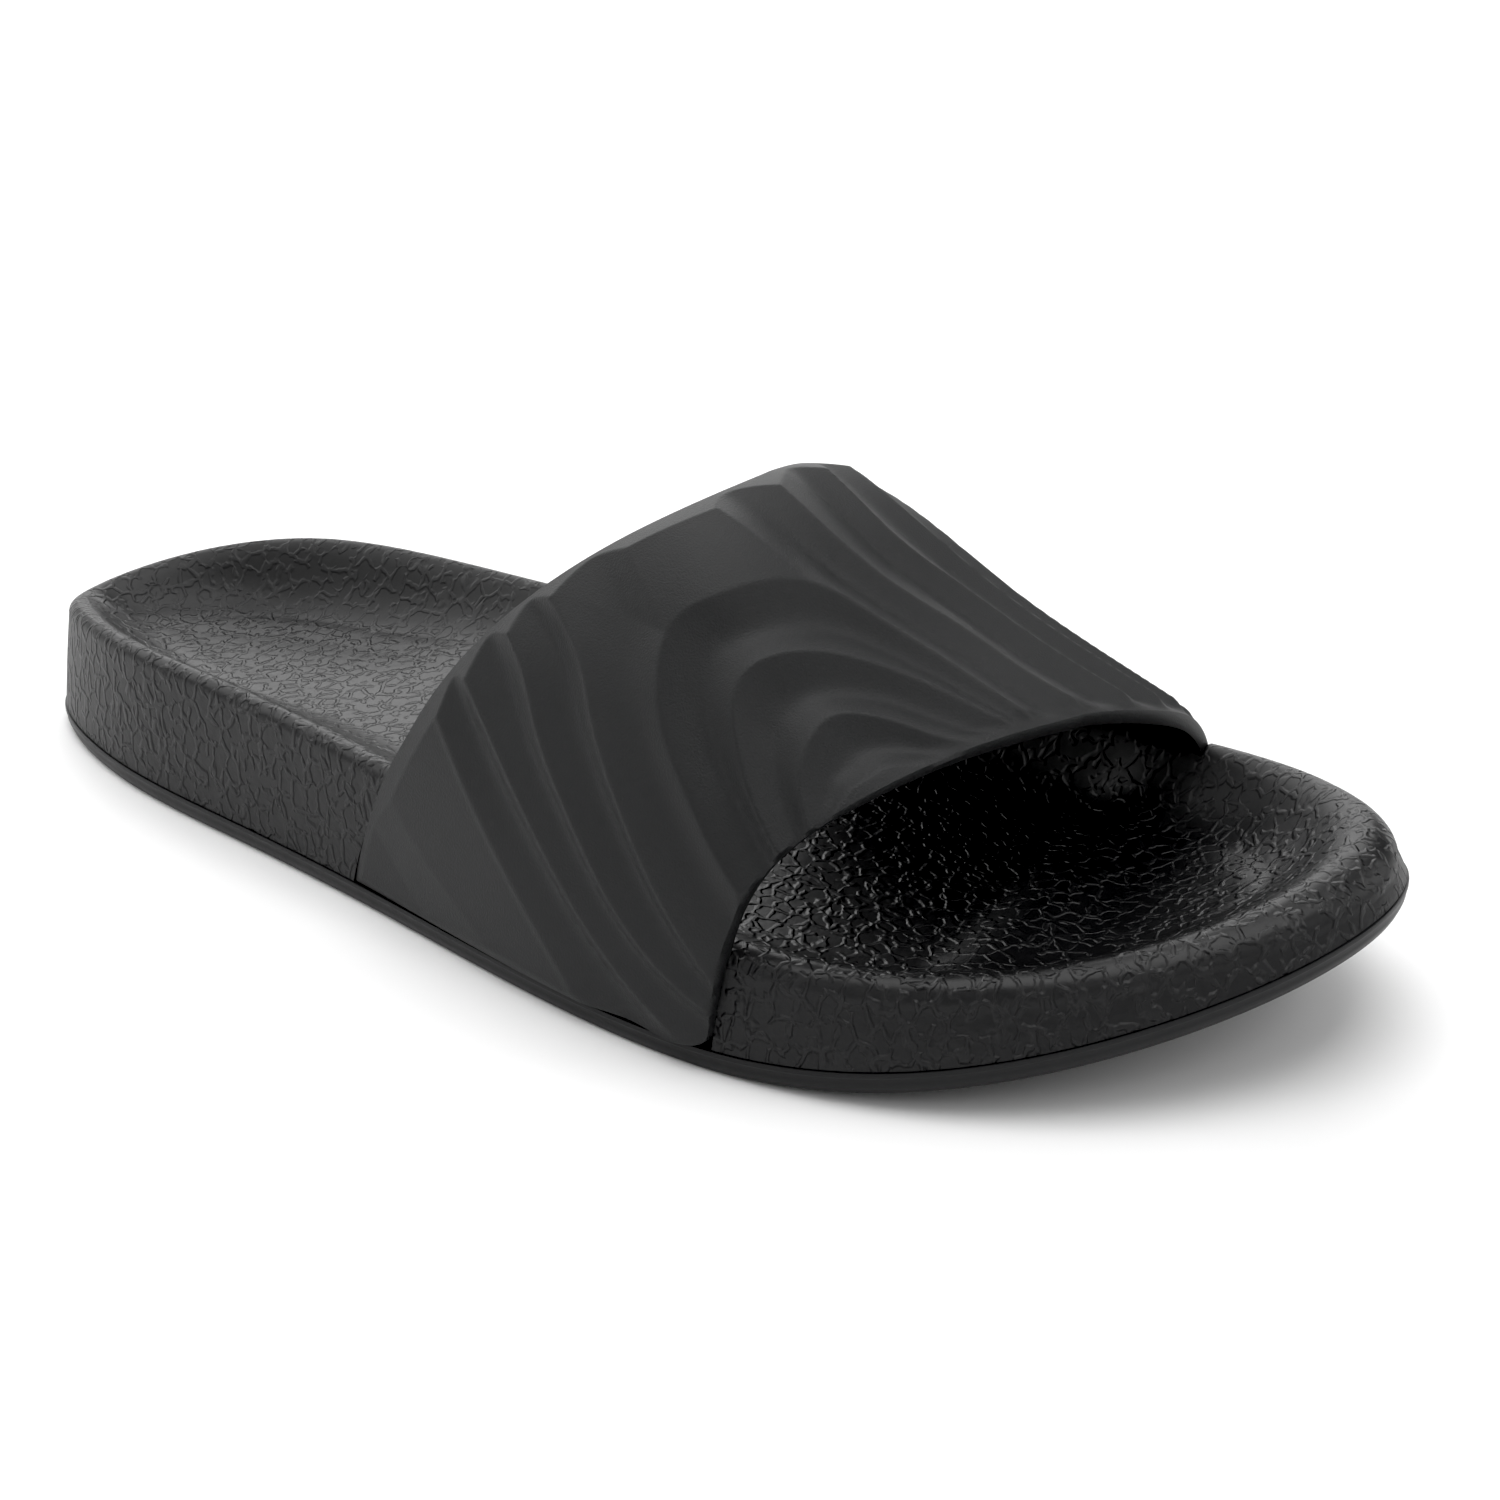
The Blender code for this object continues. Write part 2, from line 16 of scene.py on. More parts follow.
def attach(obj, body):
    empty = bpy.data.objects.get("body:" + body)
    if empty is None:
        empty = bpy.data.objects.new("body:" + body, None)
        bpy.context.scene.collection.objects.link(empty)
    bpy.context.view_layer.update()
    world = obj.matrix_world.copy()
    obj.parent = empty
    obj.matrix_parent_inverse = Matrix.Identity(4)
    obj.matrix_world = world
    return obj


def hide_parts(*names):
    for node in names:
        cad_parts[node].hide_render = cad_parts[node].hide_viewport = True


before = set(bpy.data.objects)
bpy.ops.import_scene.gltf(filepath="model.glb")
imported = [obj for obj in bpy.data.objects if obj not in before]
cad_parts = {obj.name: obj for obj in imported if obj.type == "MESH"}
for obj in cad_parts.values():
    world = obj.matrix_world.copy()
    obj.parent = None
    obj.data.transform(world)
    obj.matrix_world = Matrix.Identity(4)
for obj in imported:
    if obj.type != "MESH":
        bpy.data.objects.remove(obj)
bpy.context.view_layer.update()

MM = 0.001

# The whole sole: its plan, its rim's height, the spring of its toe, and the middle line's share
LENGTH = 285 * MM
BALL_WIDTH = 110 * MM
HEEL_WIDTH = 73 * MM
RIM_HEIGHT = 32 * MM
TOE_SPRING = 22 * MM
SPRING_START = 0.66
MIDDLE_SHARE = 0.72

# Outsole: its thickness, the belly of its side, its lower corner and the lip at its top
OUTSOLE_THICKNESS = 4.4 * MM
UNDERSIDE_RING = 8 * MM
OUTSOLE_BELLY = 0.5 * MM
BELLY_LEVEL = 0.55
CORNER_WIDTH = 1.2 * MM
CORNER_HEIGHT = 0.8 * MM
LIP_DEPTH = 0.2 * MM
LIP_HEIGHT = 0.9 * MM
LIP_FILLET = 0.2 * MM

# Tread: grooves between lugs, under the heel and under the front of the foot
TREAD_DEPTH = 1.5 * MM
GROOVE_WIDTH = 3.0 * MM
LUG_LENGTH = 9.0 * MM
GROOVE_SWEEP = 10.0 * MM
GROOVE_APEX = -3.7 * MM
TREAD_MARGIN = 7.0 * MM
HEEL_TREAD = (0.10, 0.30)
FRONT_TREAD = (0.56, 0.93)

# Footbed's wall and rim, from the seat on the outsole up. Pairs are a heel value and a toe value
CLEARANCE = 0.05 * MM
FOOTBED_LEDGE = 0.35 * MM
SEAT_CORNER = 0.4 * MM
FOOT_CORNER = 0.15 * MM
WALL_DRAFT = (1.15 * MM, 2.35 * MM)
WALL_BOW = 0.16
RIM_ROUND = (2.6 * MM, 4.2 * MM)
RIM_WIDENING = (0.35, 0.80)

# More lean of the wall at both ends of the foot, over a range of stations. A wall lower than the
# height leans less, and the rest goes into the rim's round
HEEL_LEAN = 1.8 * MM
HEEL_END = (0, 0.16)
TOE_LEAN = 1.7 * MM
TOE_END = (0.84, 1)
LEAN_HEIGHT = 8 * MM

# Footbed's bed: the fall inside its rim, the raised arch and the ridge behind the toes
RIM_FALL = 14 * MM
BED_HEIGHT = 23 * MM
FLOOR_REACHED = 0.5
ARCH_RAISE = 5.0 * MM
ARCH_ACROSS = (-0.1, 0.4)
ARCH_RISE = (0.22, 0.42)
ARCH_END = (0.48, 0.66)
TOE_RIDGE = 2.2 * MM
RIDGE_RISE = (0.765, 0.80)
RIDGE_END = (0.80, 0.84)

# The recess in each side of the footbed, in which a strap's end lies
RECESS_GAP = 0.05 * MM
RECESS_REACH = 12 * MM
RECESS_DROP = 6 * MM
RECESS_SHARE = 0.30

# The strap's arch. Its feet stand this far in from the outline, so a value below 0 stands proud
STRAP_WALL = 4.5 * MM
STRAP_HEIGHT = 84.6 * MM
STRAP_EDGE_SET = -1.2 * MM
STRAP_FOOT_GAP = 0.4 * MM
FOOT_CORNER_ROUND = 4 * MM
CROWN_PLACE = 0.50
OUTER_FULLNESS = 2.29
INNER_FULLNESS = 2.04

# The strap's edges: the rear chamfer, shallower low down, the bevel of the rear foot, and the round
# of the front edge. Short of that edge the relief fades to one depth on the far side
CHAMFER_LENGTH = 5.5 * MM
CHAMFER_DEPTH = 2.8 * MM
FOOT_CHAMFER = 1.9 * MM
FOOT_CHAMFER_RISE = (22 * MM, 36 * MM)
BEVEL_DEPTH = 1.7 * MM
BEVEL_SLOPE = 0.35
EDGE_ROUND = 2.0 * MM
INNER_LIP = 0.25
FRONT_FADE = (0.5 * MM, 4 * MM)
FRONT_DEPTH = 1.3 * MM
FAR_SIDE = (0.24, 0.44)

# The coves of the strap's relief: a narrow one is shallower, in the range of shares. The valley lies
# nearer to its inner crest past each range of angles, and the fourth arch's cove is fainter there
COVE_DEPTH = 2.0 * MM
COVE_WIDTH = 10 * MM
COVE_RANGE = (0.35, 1.25)
LEAST_COVE = 1 * MM
BEYOND_WIDTH = 1.2 * COVE_WIDTH
VALLEY_POWER = 3
VALLEY_PLACE = 0.50
VALLEY_SHIFT = 0.10
VALLEY_ANGLES = ((35, 75), (105, 130))
FAINT_CREST = 0.4
FAINT_ANGLES = (95, 110)
CREST_SOFTNESS = 0.15 * MM

# The flat parts of the relief: last band and foot panel near the outer foot, and the middle dish
FLAT_DEPTH = 0.2 * MM
FLAT_FALL = 1.2 * MM
FOOT_FALL = 0.10
FOOT_DEPTH = 1.1 * MM
DISH_DEPTH = 1.3 * MM

# The fan's centre and size on the unrolled strap, and the two straight lines of the flat panel
FAN_REACH = 100 * MM
FAN_GIRTH = 200 * MM
FAN_ACROSS = 0.290
FAN_STATION = 0.785
PANEL_RIGHT = 23.3 * MM
PANEL_LEFT = (-2.5 * MM, 48.2 * MM)
PANEL_SLANT = (9.0, 10.7)

# Steps over which slopes are taken
TURN_STEP = 0.01
SHARE_STEP = 0.002

# How finely each surface is drawn
STRAP_COLUMNS = 430
STRAP_ROWS = 190
EDGE_ROWS = 8
INNER_ROWS = 14
RECESS_COLUMNS = 60
RECESS_ROWS = 24
BED_TURNS = 420
WALL_RINGS = 12
RIM_RINGS = 9
FALL_RINGS = 15
BED_RINGS = 22
SOLE_TURNS = 360
CORNER_RINGS = 5
BELLY_RINGS = 6
MERGE_REACH = 0.000001
SHARP_ANGLE = 40

# Base colours that each finish mixes between, in linear light
FOAM_COLOURS = ((0.0045, 0.0045, 0.0048), (0.0105, 0.0105, 0.011))
STRAP_COLOURS = ((0.0065, 0.0068, 0.0072), (0.0105, 0.0108, 0.0112))
RUBBER_COLOURS = ((0.006, 0.006, 0.0065), (0.009, 0.009, 0.0095))

# The camera: azimuth, elevation and roll in degrees, target in metres, the rest in millimetres
CAMERA_ANGLES = (-59.235, 25.928, -0.495)
CAMERA_TARGET = (17.442 * MM, -15.941 * MM, 20 * MM)
CAMERA_DISTANCE = 487.63
CAMERA_LENS = 62.4
CAMERA_SENSOR = 36
# Nearest and farthest that the camera sees, in metres
CAMERA_CLIP = (0.01, 50)

# Softboxes round the sandal, in metres and watts
LightRow = namedtuple("LightRow", "name x y z width height watts")
LIGHTS = (
    LightRow("back_softbox", 1.05, 0.65, 0.75, 1.6, 1.0, 14.5),
    LightRow("heel_softbox", -0.05, 1.30, 0.90, 1.4, 1.0, 11.5),
    LightRow("top_softbox", 0.0, 0.0, 1.60, 1.4, 1.4, 21.5),
    LightRow("side_softbox", -1.10, 0.50, 0.80, 1.2, 1.0, 4.8),
    LightRow("front_softbox", -0.60, -1.10, 1.00, 1.2, 1.0, 4.8),
    LightRow("toe_softbox", 0.70, -1.00, 0.80, 1.2, 1.0, 7.2),
)
LIGHT_AIM = (0, 0, 0.03)

# The floor's flat part, and the sweep that rises round it, in metres
FLOOR_SIDES = 64
FLOOR_REACH = 30
SWEEP_REACH = 34
SWEEP_RISE = 1.8
FLOOR_COLOUR = (0.86, 0.86, 0.86, 1)
# Distances, in metres, over which the floor turns into a lit white sweep
SWEEP_GLOW = (0.35, 1.1)
SURROUNDINGS = 0.03
# Light that the picture's darkest tones lose, as in a studio photograph
BLACK_LEVEL = 0.006

# Shares of the width that each row follows, from the middle out to both sides
OutlineRow = namedtuple("OutlineRow", "station follows outer inner")
OUTLINE = (
    OutlineRow(0.00, HEEL_WIDTH, -0.03, 0.03),
    OutlineRow(0.05, HEEL_WIDTH, 0.225, 0.363),
    OutlineRow(0.15, HEEL_WIDTH, 0.385, 0.522),
    OutlineRow(0.27, HEEL_WIDTH, 0.484, 0.534),
    OutlineRow(0.40, BALL_WIDTH, 0.395, 0.355),
    OutlineRow(0.55, BALL_WIDTH, 0.489, 0.408),
    OutlineRow(0.68, BALL_WIDTH, 0.529, 0.465),
    OutlineRow(0.80, BALL_WIDTH, 0.474, 0.459),
    OutlineRow(0.90, BALL_WIDTH, 0.330, 0.397),
    OutlineRow(0.97, BALL_WIDTH, 0.151, 0.269),
    OutlineRow(1.00, BALL_WIDTH, -0.064, 0.064),
)

# Shares of the rim's height, above the underside, on both sides
RimRow = namedtuple("RimRow", "station outer inner")
RIM = (
    RimRow(0.00, 0.82, 0.82),
    RimRow(0.14, 0.97, 1.04),
    RimRow(0.42, 0.91, 1.05),
    RimRow(0.70, 0.68, 0.87),
    RimRow(1.00, 0.36, 0.36),
)

# Shares of the bed's height, above the underside, down the middle
BedRow = namedtuple("BedRow", "station floor")
BED = (
    BedRow(0.00, 0.92),
    BedRow(0.14, 0.88),
    BedRow(0.40, 1.05),
    BedRow(0.60, 0.86),
    BedRow(0.72, 0.62),
    BedRow(0.88, 0.42),
    BedRow(1.00, 0.45),
)

# The bed's fall inside the rim: shares of the way in from the crest, and of the drop to the floor
FallRow = namedtuple("FallRow", "inward drop")
FALL = (
    FallRow(0.00, 0.00),
    FallRow(0.14, 0.10),
    FallRow(0.36, 0.42),
    FallRow(0.64, 0.76),
    FallRow(1.00, 0.95),
)

# The outsole's lip, from its fillet up: shares of its depth inward, and of its height from the top
LipRow = namedtuple("LipRow", "inward down")
LIP = (
    LipRow(0.2, 1.0),
    LipRow(0.0, 0.8),
    LipRow(0.0, 0.3),
    LipRow(0.3, 0.0),
)

# Shares of the strap's height along its crown
CrownRow = namedtuple("CrownRow", "station height")
CROWN = (
    CrownRow(0.36, 1.19),
    CrownRow(0.50, 1.065),
    CrownRow(0.62, 1.01),
    CrownRow(0.72, 0.79),
    CrownRow(0.82, 0.595),
    CrownRow(0.90, 0.435),
)

# Stations of the strap's edges
EdgeRow = namedtuple("EdgeRow", "across rear front")
EDGES = (
    EdgeRow(0.00, 0.375, 0.679),
    EdgeRow(0.12, 0.435, 0.697),
    EdgeRow(0.25, 0.509, 0.743),
    EdgeRow(0.38, 0.582, 0.785),
    EdgeRow(0.50, 0.612, 0.815),
    EdgeRow(0.62, 0.608, 0.835),
    EdgeRow(0.75, 0.583, 0.838),
    EdgeRow(1.00, 0.528, 0.832),
)

# The strap's ridges round the fan's centre, as shares of the fan's reach. Angles are degrees on the
# unrolled strap, 0 toward the inner foot and 90 toward the heel. Four nested arches come first, then
# the waves that run out past them.
RidgeRow = namedtuple("RidgeRow", "angle arch1 arch2 arch3 arch4 wave1 wave2 wave3 wave4 wave5")
RIDGES = (
    RidgeRow(-20, 0.090, 0.230, 0.320, 0.340, 0.470, 0.650, 0.80, 0.95, 1.10),
    RidgeRow(0, 0.090, 0.186, 0.272, 0.320, 0.415, 0.550, 0.67, 0.79, 0.91),
    RidgeRow(20, 0.090, 0.161, 0.262, 0.331, 0.428, 0.547, 0.67, 0.79, 0.91),
    RidgeRow(40, 0.088, 0.168, 0.269, 0.365, 0.473, 0.665, 0.86, 1.05, 1.20),
    RidgeRow(50, 0.089, 0.176, 0.277, 0.390, 0.575, 0.920, 1.10, 1.25, 1.40),
    RidgeRow(60, 0.093, 0.187, 0.288, 0.403, 0.780, 1.150, 1.30, 1.45, 1.60),
    RidgeRow(80, 0.103, 0.208, 0.321, 0.435, 0.920, 1.180, 1.35, 1.50, 1.65),
    RidgeRow(90, 0.108, 0.213, 0.340, 0.470, 0.780, 1.000, 1.15, 1.30, 1.50),
    RidgeRow(100, 0.119, 0.220, 0.345, 0.481, 0.650, 0.795, 0.96, 1.07, 1.25),
    RidgeRow(110, 0.138, 0.227, 0.336, 0.472, 0.612, 0.736, 0.849, 0.957, 1.165),
    RidgeRow(120, 0.159, 0.235, 0.329, 0.449, 0.590, 0.699, 0.786, 0.886, 1.048),
    RidgeRow(130, 0.190, 0.241, 0.322, 0.433, 0.575, 0.672, 0.743, 0.834, 0.935),
    RidgeRow(150, 0.240, 0.260, 0.320, 0.420, 0.565, 0.610, 0.670, 0.770, 0.900),
)
# Shares of the dish's depth at which the first arches lie; the other ridges lie on the arch's face
RIDGE_DROP = dict(arch1=1.0, arch2=0.75, arch3=0.4)


def spline_slopes(knots, values, period):
    """Slopes of the cubic spline through the values: closed where a period is given, else natural."""
    count = len(knots)
    if period:
        steps = np.diff(np.append(knots, knots[0] + period))
        rises = np.diff(np.append(values, values[0])) / steps
    else:
        steps = np.diff(knots)
        rises = np.diff(values) / steps
    matrix = np.zeros((count, count))
    right = np.zeros(count)
    for row in range(count):
        after = row if period or row < count - 1 else None
        before = row - 1 if period or row > 0 else None
        for side, other in ((before, row - 1), (after, (row + 1) % count)):
            if side is not None:
                matrix[row, row] += 2 / steps[side]
                matrix[row, other] += 1 / steps[side]
                right[row] += 3 * rises[side] / steps[side]
    return np.linalg.solve(matrix, right)


def spline(at, knots, values, period=None):
    """Cubic curve through the knots with no jump in its bend, read at the given places."""
    knots = np.asarray(knots, float)
    values = np.asarray(values, float)
    slopes = spline_slopes(knots, values, period)
    at = np.asarray(at, float)
    if period:
        at = knots[0] + np.mod(at - knots[0], period)
        knots = np.append(knots, knots[0] + period)
        values = np.append(values, values[0])
        slopes = np.append(slopes, slopes[0])
    part = np.clip(np.searchsorted(knots, at, side="right") - 1, 0, len(knots) - 2)
    step = knots[part + 1] - knots[part]
    share = (at - knots[part]) / step
    rise = values[part + 1] - values[part]
    start = slopes[part] * step - rise
    end = rise - slopes[part + 1] * step
    return values[part] + share * rise + share * (1 - share) * (start * (1 - share) + end * share)


def table_curve(at, rows, column):
    """Spline through one column of a table, against the table's first column."""
    return spline(at, [row[0] for row in rows], [getattr(row, column) for row in rows])


def blend(low, high, value):
    """0 below low, 1 above high, and a smooth step between them."""
    share = np.clip((value - low) / (high - low), 0, 1)
    return share * share * (3 - 2 * share)


def turn_of(station):
    """Turn of a station on the outer side."""
    return np.arccos(np.clip(1 - 2 * np.asarray(station, float), -1, 1))


def station_of(turn):
    """Station of a turn: evenly spaced turns lie closer together at both ends of the foot."""
    return (1 - np.cos(turn)) / 2


def place_of(station):
    """Y of a station."""
    return LENGTH * (0.5 - station)


def station_at(place):
    """Station of a Y."""
    return 0.5 - place / LENGTH


def closed_curve(turn, rows, outer, inner):
    """Closed spline round a table: its outer side from heel to toe, then its inner side back."""
    turns = [turn_of(row.station) for row in rows]
    back = [2 * np.pi - value for value in turns[-2:0:-1]]
    values = [outer(row) for row in rows] + [inner(row) for row in rows[-2:0:-1]]
    return spline(turn, turns + back, values, 2 * np.pi)


def raw_reach(turn):
    """X of the outline at a turn, as in the table."""
    return closed_curve(turn, OUTLINE, lambda row: -row.follows * row.outer,
                        lambda row: row.follows * row.inner)


FINE_TURNS = np.linspace(0, 2 * np.pi, 721)
CENTRE = (raw_reach(FINE_TURNS).min() + raw_reach(FINE_TURNS).max()) / 2


def reach(turn):
    """X of the outline at a turn, with the box centred."""
    return raw_reach(turn) - CENTRE


def outline(turn, inset):
    """Points of the outline at the turns, moved inward along the normal by the inset."""
    point, ahead, behind = (
        np.stack([reach(turn + shift), place_of(station_of(turn + shift))], -1)
        for shift in (0, TURN_STEP, -TURN_STEP)
    )
    along = ahead - behind
    along /= np.linalg.norm(along, axis=-1, keepdims=True)
    inward = np.stack([-along[..., 1], along[..., 0]], -1)
    return point + inward * np.asarray(inset)[..., None]


def underside(station):
    """Height of the outsole's underside: flat to the ball, then a parabola up to the toe."""
    ahead = np.clip((station - SPRING_START) / (1 - SPRING_START), 0, None)
    return TOE_SPRING * ahead ** 2


def rim_height(turn):
    """Height of the rim's crest above the underside."""
    return RIM_HEIGHT * closed_curve(turn, RIM, lambda row: row.outer, lambda row: row.inner)


def widening(ends, station):
    """A size that grows from its heel value to its toe value along the foot."""
    return ends[0] + (ends[1] - ends[0]) * blend(*RIM_WIDENING, station)


def middle_point(turn):
    """Point of the line down the middle that faces a turn of the outline."""
    station = 0.5 + MIDDLE_SHARE * (station_of(turn) - 0.5)
    angle = turn_of(station)
    x = (reach(angle) + reach(2 * np.pi - angle)) / 2
    return np.stack([x, place_of(station)], -1)


def edge_stations(across):
    """Stations of the strap's rear and front edges, before the front one is rounded at the feet."""
    return table_curve(across, EDGES, "rear"), table_curve(across, EDGES, "front")


def arch_point(across, station):
    """Strap's outer face before its relief: a superellipse from each foot up to the crown."""
    turn = turn_of(station)
    outer_foot = reach(turn) + STRAP_EDGE_SET
    inner_foot = reach(2 * np.pi - turn) - STRAP_EDGE_SET
    base = underside(station) + OUTSOLE_THICKNESS + STRAP_FOOT_GAP
    crown = STRAP_HEIGHT * table_curve(station, CROWN, "height")
    crown_x = outer_foot + (inner_foot - outer_foot) * CROWN_PLACE
    angle = np.pi * across
    inner_side = across > 0.5
    fullness = np.where(inner_side, INNER_FULLNESS, OUTER_FULLNESS)
    half = np.where(inner_side, inner_foot - crown_x, crown_x - outer_foot)
    x = crown_x - np.sign(np.cos(angle)) * half * np.abs(np.cos(angle)) ** (2 / fullness)
    z = base + (crown - base) * np.abs(np.sin(angle)) ** (2 / fullness)
    return np.stack([x, place_of(station), z], -1)


def below_arch(across, station, depth):
    """Points at a depth below the arch, along the arch's normal."""
    low = np.clip(across - SHARE_STEP, 0, 1)
    high = np.clip(across + SHARE_STEP, 0, 1)
    step_across = arch_point(high, station) - arch_point(low, station)
    step_along = arch_point(across, station + SHARE_STEP) - arch_point(across, station - SHARE_STEP)
    normal = np.cross(step_along, step_across)
    normal /= np.linalg.norm(normal, axis=-1, keepdims=True)
    return arch_point(across, station) - normal * np.asarray(depth)[..., None]


def foot_rise(across):
    """Height of the strap's rear edge above the nearer foot."""
    rear, _ = edge_stations(across)
    return arch_point(across, rear)[..., 2] - arch_point(np.round(across), rear)[..., 2]


def cove(share, valley):
    """Hollow between two crests, of depth 0 to 1: straight falls to a rounded valley at its share."""
    fall = np.clip(share, 0.001, 1) / valley
    rise = np.clip(1 - share, 0.001, 1) / (1 - valley)
    return (fall ** -VALLEY_POWER + rise ** -VALLEY_POWER) ** (-1 / VALLEY_POWER)


def panel_edge(heading):
    """Radius at which the flat panel ends: the nearer of two straight lines on the unrolled strap."""
    right_line = PANEL_RIGHT / np.clip(np.cos(heading), 0.01, None)
    slant_x, slant_y = PANEL_SLANT
    left_x, left_y = PANEL_LEFT
    left_line = (slant_x * left_y - slant_y * left_x) / np.clip(
        slant_x * np.sin(heading) - slant_y * np.cos(heading), 0.01, None)
    return np.minimum(right_line, left_line)


def relief(across, station):
    """Depth of the moulded face below the arch, on the unrolled strap round the fan's centre.

    Between two ridges the face follows a cove. The nested arches step down toward the centre, and a
    flat panel lies between the fourth arch and two straight lines. Near the outer foot the last band
    is flat, and the panel past it falls slowly to a greatest depth. Elsewhere even coves follow.
    """
    sideways = (across - FAN_ACROSS) * FAN_GIRTH
    rearward = (FAN_STATION - station) * LENGTH
    radius = np.hypot(sideways, rearward)
    heading = np.arctan2(rearward, sideways)
    angle = np.clip(np.degrees(heading), RIDGES[0].angle, RIDGES[-1].angle)
    names = RidgeRow._fields[1:]
    crests = {name: FAN_REACH * table_curve(angle, RIDGES, name) for name in names}
    panel = np.maximum(crests["arch4"], panel_edge(heading))
    valley = VALLEY_PLACE
    for angles in VALLEY_ANGLES:
        valley = valley - VALLEY_SHIFT * blend(*angles, angle)
    near = across < FAN_ACROSS
    depth = np.where(radius < crests["arch1"], DISH_DEPTH, 0.0)
    for name, after in zip(names, names[1:]):
        start = panel if name == "arch4" else crests[name]
        width = np.maximum(crests[after] - start, LEAST_COVE)
        share = (radius - start) / width
        level = DISH_DEPTH * RIDGE_DROP.get(name, 0)
        level = level + (DISH_DEPTH * RIDGE_DROP.get(after, 0) - level) * share
        amount = COVE_DEPTH * np.clip(width / COVE_WIDTH, *COVE_RANGE)
        if name == "arch4":
            amount = amount * (1 - FAINT_CREST * blend(*FAINT_ANGLES, angle))
        hollow = level + amount * cove(share, valley)
        if name == "wave4":
            hollow = np.where(near, FLAT_DEPTH * np.clip((radius - start) / FLAT_FALL, 0, 1), hollow)
        depth = np.where((share >= 0) & (share < 1), hollow, depth)
    beyond = (radius - crests["wave5"]) / BEYOND_WIDTH
    foot_panel = np.minimum(FLAT_DEPTH + FOOT_FALL * (radius - crests["wave5"]), FOOT_DEPTH)
    further = np.where(near, foot_panel, COVE_DEPTH * cove(np.mod(beyond, 1), valley))
    return np.where(beyond > 0, further, depth)


def soft_relief(across, station):
    """The relief with its crests softened: the mean of nine places about it."""
    depth = 0
    shifts = (-1, 0, 1)
    for side in shifts:
        for lengthwise in shifts:
            depth = depth + relief(across + side * CREST_SOFTNESS / FAN_GIRTH,
                                   station + lengthwise * CREST_SOFTNESS / LENGTH)
    return depth / len(shifts) ** 2


def outer_depth(across, along, rise):
    """Depth of the strap's outer face: the relief, cut by the rear chamfer and the rear foot's bevel.

    The front edge is rounded, and on the far side the relief fades to one depth just short of it.
    Along is 0 at the rear edge and 1 at the front, and rise is the rear edge's height above the
    nearer foot.
    """
    rear, front = edge_stations(across)
    depth = soft_relief(across, rear + (front - rear) * along)
    from_rear = along * (front - rear) * LENGTH
    from_front = (1 - along) * (front - rear) * LENGTH
    chamfer = FOOT_CHAMFER + (CHAMFER_DEPTH - FOOT_CHAMFER) * blend(*FOOT_CHAMFER_RISE, rise)
    chamfer = chamfer * (1 - from_rear / CHAMFER_LENGTH)
    bevel = BEVEL_DEPTH * (1 - along) - BEVEL_SLOPE * rise
    depth = np.maximum(depth, np.maximum(chamfer, bevel))
    fade = (1 - blend(*FRONT_FADE, from_front)) * blend(*FAR_SIDE, across)
    depth = depth + (FRONT_DEPTH - depth) * fade
    bend = np.clip(EDGE_ROUND - from_front, 0, EDGE_ROUND)
    return np.maximum(depth, EDGE_ROUND - np.sqrt(EDGE_ROUND ** 2 - bend ** 2))


def strap_point(across, along, depth):
    """Point of the strap at a depth below its arch; the front corner of each foot is rounded."""
    rear, front = edge_stations(across)
    corner = np.clip(1 - foot_rise(across) / FOOT_CORNER_ROUND, 0, 1)
    front = front - FOOT_CORNER_ROUND / LENGTH * (1 - np.sqrt(1 - corner ** 2))
    return below_arch(across, rear + (front - rear) * along, depth)


def even_across(count):
    """Shares of the way across, evenly spaced by length round the arch at its middle station."""
    fine = np.linspace(0, 1, 4001)
    rear, front = edge_stations(fine)
    steps = np.linalg.norm(np.diff(arch_point(fine, (rear + front) / 2), axis=0), axis=1)
    length = np.concatenate([[0], np.cumsum(steps)])
    return np.interp(np.linspace(0, length[-1], count), length, fine)


def grid_mesh(name, points, capped):
    """Closed skin over a grid of points: the second axis wraps round, the first ends in faces."""
    rows, columns = points.shape[:2]
    index = np.arange(rows * columns).reshape(rows, columns)
    after = np.roll(index, -1, axis=1)
    quads = np.stack([index[:-1], after[:-1], after[1:], index[1:]], -1).reshape(-1, 4)
    faces = quads.tolist()
    if capped:
        faces += [index[0].tolist(), index[-1][::-1].tolist()]
    mesh = bpy.data.meshes.new(name)
    mesh.from_pydata(points.reshape(-1, 3).tolist(), [], faces)
    work = bmesh.new()
    work.from_mesh(mesh)
    bmesh.ops.remove_doubles(work, verts=work.verts, dist=MERGE_REACH)
    bmesh.ops.recalc_face_normals(work, faces=work.faces)
    work.to_mesh(mesh)
    work.free()
    return mesh


def add_object(name, data):
    """A new object in the scene."""
    item = bpy.data.objects.new(name, data)
    bpy.context.scene.collection.objects.link(item)
    return item


def add_piece(name, mesh, node, finish):
    """A piece of the sandal that rides with the root and stands for a CAD node."""
    piece = add_object(name, mesh)
    mesh.materials.clear()
    mesh.materials.append(finish)
    mesh.shade_smooth()
    mesh.set_sharp_from_angle(angle=np.radians(SHARP_ANGLE))
    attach(piece, "root")
    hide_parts(node)
    return piece


